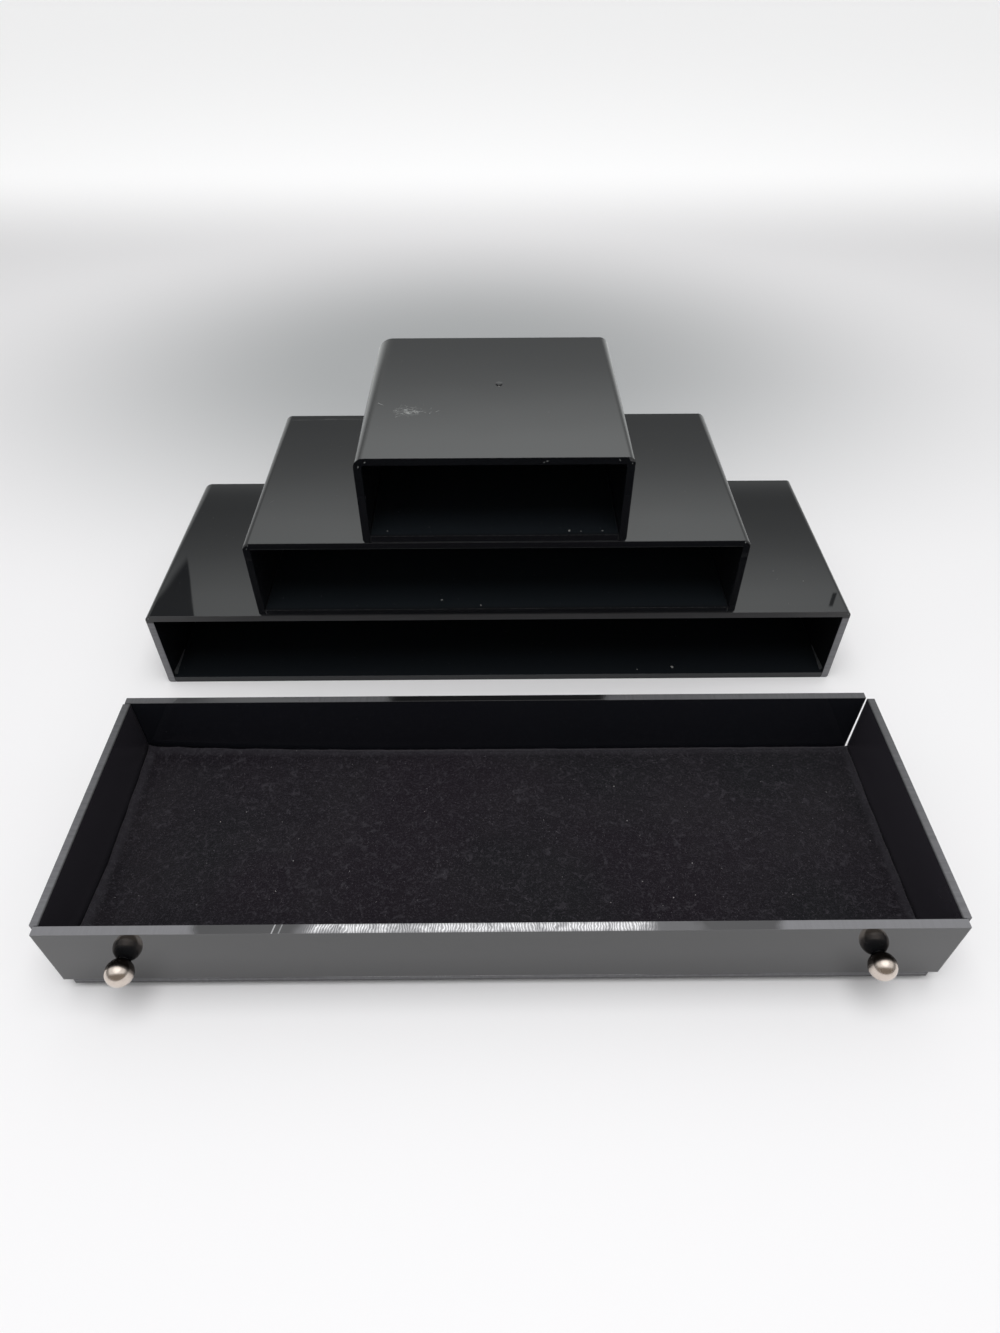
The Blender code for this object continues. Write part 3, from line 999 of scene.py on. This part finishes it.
def strandPiece(name, strands, thickness, material, body):
    curve = bpy.data.curves.new(name, "CURVE")
    curve.dimensions = "3D"
    curve.bevel_depth = thickness / 2
    curve.bevel_resolution = 0
    curve.use_fill_caps = True
    for strand in strands:
        spline = curve.splines.new("POLY")
        spline.points.add(len(strand) - 1)
        for step, place in enumerate(strand):
            spline.points[step].co = (*place, 1.0)
            spline.points[step].radius = 1.0 - 0.65 * step / (len(strand) - 1)
    drawn = bpy.data.objects.new(name + "_drawn", curve)
    bm = bmesh.new()
    bm.from_mesh(bpy.data.meshes.new_from_object(drawn))
    bpy.data.objects.remove(drawn)
    bmesh.ops.recalc_face_normals(bm, faces=bm.faces)
    return addPiece(name, bm, material, body, 60.0)


def curlyStrand(start, heading, length, curl, steps, lift=0.0):
    # a strand that turns a little at each step and bows up by lift in its middle
    points = [Vector(start)]
    turn = random.uniform(-curl, curl)
    for step in range(steps):
        heading += turn + random.uniform(-curl, curl) * 0.4
        stride = Vector((math.cos(heading), math.sin(heading), 0.0)) * length / steps
        points.append(points[-1] + stride)
    for step, point in enumerate(points):
        point.z += lift * math.sin(math.pi * step / steps)
    return points


lint = {
    "seed": 41,
    "count": 2300,
    "thickness": 0.00009,
    "lengths": (0.0004, 0.0013),
    "curl": 1.2, "bow": 0.12, "hover": 0.00008,
    "colour": (0.090, 0.084, 0.095, 1.0),
}


def makeLint(look, plan):
    random.seed(look["seed"])
    strands = []
    while len(strands) < look["count"]:
        across, deep = random.uniform(-0.985, 0.985), random.uniform(-0.98, 0.98)
        crowd = noise.noise(Vector((across * 7, deep * 4, 2.2)))
        if random.random() > 0.55 + 1.2 * crowd:
            continue
        top, normal = feltTop(across, deep, plan)
        length, heading = random.uniform(*look["lengths"]), random.uniform(0, 2 * math.pi)
        strand = curlyStrand((0, 0, 0), heading, length, look["curl"], steps=4, lift=length * look["bow"])
        turn = Vector((0, 0, 1)).rotation_difference(normal)
        lifted = top + normal * random.uniform(0.0, look["hover"])
        strands.append([lifted + turn @ point for point in strand])
    material = dullMaterial("greyLint", look["colour"], 0.5)
    return strandPiece("felt_lint", strands, look["thickness"], material, "drawer")


fuzz = {
    "seed": 87,
    "spacing": 0.00042,
    "thickness": 0.00006,
    "lengths": (0.00025, 0.0009),
    # where a fibre starts in the cloth's thickness, and how it leans
    "rooted": 0.6, "outwards": (-0.3, 0.55), "upwards": (0.5, 1.1), "sideways": 0.5,
    "colour": (0.085, 0.079, 0.092, 1.0),
}


def sideways(size):
    return Vector((random.uniform(-size, size), random.uniform(-size, size), 0))


def makeFuzz(look, plan):
    # short fibres standing off the cut edge of the cloth
    random.seed(look["seed"])
    strands = []
    for endSide, sign in ((True, -1), (True, 1), (False, -1), (False, 1)):
        run = 2 * (halfY if endSide else halfX)
        outwards = Vector((sign, 0, 0)) if endSide else Vector((0, sign, 0))
        for place in range(int(run / look["spacing"])):
            along = min(1.0, max(-1.0, -1 + 2 * (place + random.random()) * look["spacing"] / run))
            top, normal = feltTop(*((sign, along) if endSide else (along, sign)), plan)
            start = top - normal * random.uniform(0.0, plan["thick"] * look["rooted"])
            lean = outwards * random.uniform(*look["outwards"]) + normal * random.uniform(*look["upwards"])
            lean += sideways(look["sideways"])
            half = random.uniform(*look["lengths"]) * 0.5
            middle = start + lean.normalized() * half
            tip = middle + (lean + sideways(look["sideways"])).normalized() * half
            strands.append([start, middle, tip])
    material = dullMaterial("feltFuzz", look["colour"], 0.4)
    return strandPiece("felt_fuzz", strands, look["thickness"], material, "drawer")


feltLint = makeLint(lint, feltPlan)
feltFuzz = makeFuzz(fuzz, feltPlan)
print("lint and fuzz on the felt")


# specks of dust, each a small faceted grain
def speckPiece(name, specks, material, body):
    # each speck is its place and its radii
    bm = bmesh.new()
    for place, radii in specks:
        turn = Matrix.Rotation(random.uniform(0, math.pi), 4, "Z")
        size = Matrix.Diagonal((*radii, 1.0))
        ball = bmesh.ops.create_icosphere(bm, subdivisions=1, radius=1.0)["verts"]
        for vert in ball:
            vert.co *= random.uniform(0.62, 1.15)
        bmesh.ops.transform(bm, matrix=Matrix.Translation(place) @ turn @ size, verts=ball)
    return addPiece(name, bm, material, body, 30.0)


def mixedSize(smallest, largest, power):
    # many small ones and few large ones
    return smallest + (largest - smallest) * random.random() ** power


feltGrains = {
    "seed": 12,
    "count": 90, "sizes": (0.00007, 0.00020),
    "colour": (0.42, 0.41, 0.42, 1.0),
    "pillCount": 1000, "pillSizes": (0.00008, 0.00022),
    "pillColour": (0.105, 0.100, 0.112, 1.0),
    "seen": ((-0.0843, -0.1010), (-0.1081, -0.1362), (-0.0812, -0.1666), (-0.0555, -0.1585),
             (-0.0842, -0.1364), (-0.0990, -0.1316), (-0.0770, -0.1539), (0.0710, -0.1562), (0.0490, -0.1371),
             (0.0457, -0.1205), (0.0699, -0.1695), (0.0619, -0.1705), (0.0515, -0.1638), (0.1048, -0.1696)),
    "seenSize": 0.00027,
}


def settled(spots, plan):
    # specks resting on the cloth
    specks = []
    for across, deep, size in spots:
        top, normal = feltTop(across, deep, plan)
        radii = (size, size * random.uniform(0.5, 0.9), size * 0.6)
        specks.append((top + normal * size * 0.3, radii))
    return specks


def makeFeltGrains(look, plan):
    random.seed(look["seed"])
    spots = [((x - middleX) / halfX, (y - middleY) / halfY, look["seenSize"] * random.uniform(0.7, 1.15))
             for x, y in look["seen"]]
    for _ in range(look["count"]):
        size = mixedSize(*look["sizes"], 2)
        spots.append((random.uniform(-0.97, 0.97), random.uniform(-0.96, 0.96), size))
    material = dullMaterial("paleGrains", look["colour"], 0.35)
    grains = speckPiece("felt_grains", settled(spots, plan), material, "drawer")
    pills = []
    while len(pills) < look["pillCount"]:
        across, deep = random.uniform(-0.98, 0.98), random.uniform(-0.97, 0.97)
        if random.random() < 0.5 + 1.1 * noise.noise(Vector((across * 9, deep * 5, 8.8))):
            pills.append((across, deep, mixedSize(*look["pillSizes"], 2)))
    material = dullMaterial("feltPills", look["pillColour"], 0.5)
    return grains, speckPiece("felt_pills", settled(pills, plan), material, "drawer")


feltDust, feltPilling = makeFeltGrains(feltGrains, feltPlan)
print("grains on the felt")


# dust and crumbs on the case
caseDust = {
    "seed": 5,
    "sizes": (0.00006, 0.00016),
    "flattest": 0.00014,  # height of the largest crumbs, which clears the drawer
    "colour": (0.20, 0.20, 0.195, 1.0),
    "topCount": 26, "bayCount": 22,
    "sideClear": 0.005, "frontClear": 0.002, "backClear": 0.003, "boxClear": 0.004,
    # left to right, front to back, what it lies on and its size
    "seen": ((0.0285, -0.0496, "upper_floor", 0.00075), (0.0331, -0.0500, "upper_floor", 0.00035),
             (0.0417, -0.0498, "upper_floor", 0.00055), (-0.0441, -0.0490, "upper_floor", 0.0004),
             (-0.0244, -0.0465, "middle_floor", 0.0006), (-0.0075, -0.0503, "middle_floor", 0.0006),
             (0.0806, -0.0481, "lower_floor", 0.0011), (0.0642, -0.0495, "lower_floor", 0.0004),
             (0.1371, -0.0311, "lower_shell", 0.00035), (0.1253, -0.0236, "lower_shell", 0.00025),
             (0.1257, -0.0295, "lower_shell", 0.00022), (-0.0413, 0.0289, "upper_shell", 0.0002),
             (0.0009, 0.0043, "upper_shell", 0.0006), (0.0206, -0.0179, "upper_shell", 0.0002)),
}


def makeCaseDust(look):
    random.seed(look["seed"])
    specks = []
    for x, y, node, size in look["seen"]:
        radii = (size, size * 0.6, min(size * 0.28, look["flattest"]))
        specks.append(((x, y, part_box(node)[1].z + size * 0.06), radii))
    standing = {"middle_shell": "upper_floor", "lower_shell": "middle_floor"}
    for node in ("upper_shell", "middle_shell", "lower_shell", "upper_floor", "middle_floor", "lower_floor"):
        low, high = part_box(node)
        count = look["topCount"] if "shell" in node else look["bayCount"]
        while count:
            x = random.uniform(low.x + look["sideClear"], high.x - look["sideClear"])
            y = random.uniform(low.y + look["frontClear"], high.y - look["backClear"])
            if node in standing:
                left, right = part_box(standing[node])
                if left.x - look["boxClear"] < x < right.x + look["boxClear"]:
                    continue
            size = mixedSize(*look["sizes"], 3)
            specks.append(((x, y, high.z + size * 0.1), (size, size * 0.7, size * 0.4)))
            count -= 1
    speckPiece("case_dust", specks, dullMaterial("greyDust", look["colour"], 0.3), "case")


makeCaseDust(caseDust)
print("dust on the case")


# scuffs on the topmost panel and scratches on the middle one
scuffs = {
    "seed": 23,
    "height": 0.1158,  # of the panel they lie on
    # middle and spread of the scuffs, from left to right and from front to back
    "patch": ((-0.0347, 0.0036), (-0.0164, 0.0022)),
    "count": 30,
    "thickness": 0.00010,
    "lengths": (0.0005, 0.0022),
    "heading": (0.5, 0.7),
    # start, heading and length
    "lines": (((-0.0405, -0.0215), 0.62, 0.0095), ((-0.0376, -0.0172), 0.15, 0.0080),
              ((-0.0482, -0.0096), -0.75, 0.0030), ((-0.0479, -0.0094), -0.80, 0.0026),
              ((-0.0402, -0.0196), 1.1, 0.0036)),
    "middleHeight": 0.0778,
    "middleLines": (((-0.0990, 0.0482), 0.012, 0.0440), ((-0.0835, 0.0490), -0.010, 0.0290),
                    ((-0.0975, -0.0250), 1.0, 0.0040), ((-0.0690, -0.0180), -0.5, 0.0012)),
    "colour": (0.30, 0.305, 0.30, 1.0),
    "scratch": (0.11, 0.115, 0.11, 1.0),
}


def makeScuffs(look):
    random.seed(look["seed"])
    strands = []
    for _ in range(look["count"]):
        x, y = (random.gauss(*along) for along in look["patch"])
        length = random.uniform(*look["lengths"])
        strands.append(curlyStrand((x, y, look["height"]), random.gauss(*look["heading"]), length,
                                    curl=0.15, steps=3))
    for place, heading, length in look["lines"]:
        strands.append(curlyStrand((*place, look["height"]), heading, length, curl=0.05, steps=6))
    material = dullMaterial("paleScuffs", look["colour"], 0.6, 0.6)
    strandPiece("upper_top_scuffs", strands, look["thickness"], material, "case")
    strands = [curlyStrand((*place, look["middleHeight"]), heading, length, curl=0.004, steps=12)
               for place, heading, length in look["middleLines"]]
    material = dullMaterial("fineScratches", look["scratch"], 0.5, 0.6)
    strandPiece("middle_top_scratches", strands, look["thickness"], material, "case")


makeScuffs(scuffs)


# blister in the topmost panel
blister = {
    "place": (0.0009, 0.0065, 0.1158),
    "radius": 0.0015,
    "height": 0.0007,
    "sunk": 0.3,  # share of its height below the panel's face
}


def makeBlister(look):
    place = Vector(look["place"])
    size = Matrix.Diagonal((look["radius"], look["radius"], look["height"], 1.0))
    bm = bmesh.new()
    bmesh.ops.create_uvsphere(bm, u_segments=24, v_segments=12, radius=1.0,
                              matrix=Matrix.Translation(place) @ size)
    foot = place - Vector((0, 0, look["height"] * look["sunk"]))
    bmesh.ops.bisect_plane(bm, geom=list(bm.verts) + list(bm.edges) + list(bm.faces),
                           plane_co=foot, plane_no=(0, 0, -1), clear_outer=True)
    addPiece("upper_top_blister", bm, acrylicMaterial("blisterAcrylic", *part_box("upper_shell")), "case", 60.0)


makeBlister(blister)


# small chips where the bends meet the cut edges
chips = {
    "seed": 31,
    "front": -0.0525,
    # where each chip is, how it leans and how long it is
    "places": ((0.0172, 0.1138, 1.2, 0.0007), (0.0184, 0.1143, 0.5, 0.0013), (-0.0492, 0.1141, 0.7, 0.0008),
               (0.0452, 0.1146, -0.9, 0.0013), (-0.0518, 0.1122, 1.2, 0.0009), (0.0500, 0.1131, -1.2, 0.0006),
               (-0.1003, 0.0768, 0.8, 0.0005), (0.0992, 0.0768, -0.8, 0.0005), (-0.1010, 0.0752, 1.3, 0.0006),
               (-0.1511, 0.0386, 0.8, 0.0003), (0.1512, 0.0386, -0.8, 0.0003)),
    "thick": 0.00016,
    "colour": (0.30, 0.31, 0.305, 1.0),
}


def makeChips(look):
    random.seed(look["seed"])
    specks = []
    for x, z, lean, length in look["places"]:
        for step in range(-3, 4):
            share = step / 3
            across = Vector((math.cos(lean), 0.0, math.sin(lean))) * length * 0.5 * share
            size = look["thick"] * random.uniform(0.7, 1.3) * (1.3 - abs(share))
            specks.append((Vector((x, look["front"], z)) + across, (size, size * 0.4, size)))
    speckPiece("front_chips", specks, dullMaterial("chipFrost", look["colour"], 0.4, 0.5), "case")


makeChips(chips)
print("scuffs, blister and chips made")


# beads of dried cement along the foot of the lower box's legs
beads = {
    "near": -0.0505, "far": -0.0340,
    "wall": 0.1495,
    "floor": 0.0030,
    "width": 0.0011, "height": 0.0018, "least": 0.00004,
    "rings": 28,
    "colour": (0.050, 0.052, 0.054, 1.0),
}


def makeBead(name, sign, look, material):
    # a fillet with a wavy, fading edge
    bm = bmesh.new()
    bmesh.ops.create_cone(bm, cap_ends=True, segments=3, radius1=1.0, radius2=1.0, depth=1.0)
    runs = [edge for edge in bm.edges if abs(edge.verts[0].co.z - edge.verts[1].co.z) > 0.5]
    bmesh.ops.subdivide_edges(bm, edges=runs, cuts=look["rings"])
    around = sorted({round(math.atan2(vert.co.y, vert.co.x), 3) for vert in bm.verts})
    for vert in bm.verts:
        corner = around.index(round(math.atan2(vert.co.y, vert.co.x), 3))
        along = vert.co.z + 0.5
        fade = (1 - 0.75 * along) * (0.8 + 0.35 * noise.noise(Vector((along * 9, sign * 3.0, 0.4))))
        out = look["width"] * fade if corner == 1 else look["least"]
        up = look["height"] * fade if corner == 2 else look["least"]
        y = look["near"] + along * (look["far"] - look["near"])
        vert.co = (sign * (look["wall"] - out), y, look["floor"] + up)
    bmesh.ops.recalc_face_normals(bm, faces=bm.faces)
    addPiece(name, bm, material, "case", 50.0)


cement = dullMaterial("driedCement", beads["colour"], 0.3, 0.35)
makeBead("left_cement_bead", -1, beads, cement)
makeBead("right_cement_bead", 1, beads, cement)
print("cement beads made")


# cement in the joints, a little short of the outer faces
joints = {
    "recess": 0.00015, "clear": 0.00001,
    "caseColour": (0.0070, 0.0074, 0.0085, 1.0),
    "drawerColour": (0.010, 0.0105, 0.012, 1.0),
    # pale cement at the foot of the drawer's front: painted highlight of the floor sheet's front arris
    "footHighlightColour": (0.095, 0.096, 0.100, 1.0),
}


def stripBetween(bm, low, high, joined, look):
    # joined names the axis across which the strip meets its two panels
    inset = Vector([look["clear"] if axis in joined else look["recess"] for axis in "xyz"])
    addBox(bm, Vector(low) + inset, Vector(high) - inset)


def makeCaseJoints(look):
    bm = bmesh.new()
    below, sheet = None, cover["sheet"]
    for tier in cover["bends"]:
        shell, panel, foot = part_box(tier + "_shell"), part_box(tier + "_back"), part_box(tier + "_floor")
        ceiling = shell[1].z - sheet
        for inner, outer in ((shell[0].x + sheet, foot[0].x), (foot[1].x, shell[1].x - sheet)):
            stripBetween(bm, (inner, foot[0].y, foot[0].z), (outer, foot[1].y, foot[1].z), "x", look)
            stripBetween(bm, (inner, panel[0].y, foot[1].z), (outer, panel[1].y, ceiling), "x", look)
        stripBetween(bm, (foot[0].x, panel[0].y, foot[1].z), (foot[1].x, panel[1].y, panel[0].z), "z", look)
        stripBetween(bm, (panel[0].x, panel[0].y, panel[1].z), (panel[1].x, panel[1].y, ceiling), "z", look)
        if below is not None:
            stripBetween(bm, (foot[0].x, foot[0].y, below), (foot[1].x, foot[1].y, foot[0].z), "z", look)
        leanSide(bm, tier, cover)
        below = shell[1].z
    addPiece("case_cement", bm, dullMaterial("caseCement", look["caseColour"], 0.1, 0.3), "case")


def makeDrawerJoints(look):
    front, back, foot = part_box("drawer_front"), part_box("drawer_back"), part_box("drawer_floor")
    left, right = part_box("drawer_left_wall"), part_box("drawer_right_wall")
    bm = bmesh.new()
    for start, end in ((front[0].x, left[1].x), (right[0].x, front[1].x)):
        stripBetween(bm, (start, front[1].y, front[0].z), (end, left[0].y, front[1].z), "y", look)
    stripBetween(bm, (back[0].x, left[1].y, back[0].z), (left[1].x, back[0].y, back[1].z), "y", look)
    for start, end in ((left[1].x, foot[0].x), (foot[1].x, right[0].x)):
        stripBetween(bm, (start, left[0].y, foot[0].z), (end, left[1].y, foot[1].z), "x", look)
    stripBetween(bm, (foot[0].x, back[0].y, foot[1].z), (foot[1].x, back[1].y, back[0].z), "z", look)
    addPiece("drawer_cement", bm, dullMaterial("drawerCement", look["drawerColour"], 0.1, 0.3), "drawer")

    # the pale strip under the front panel: cement, its pale colour a painted highlight
    bm = bmesh.new()
    stripBetween(bm, (foot[0].x, front[0].y, foot[1].z), (foot[1].x, front[1].y, front[0].z), "z", look)
    addPiece("drawer_foot_cement_highlight", bm, dullMaterial("footCementHighlight", look["footHighlightColour"], 0.15, 0.4), "drawer")


makeCaseJoints(joints)
makeDrawerJoints(joints)
print("joints filled")
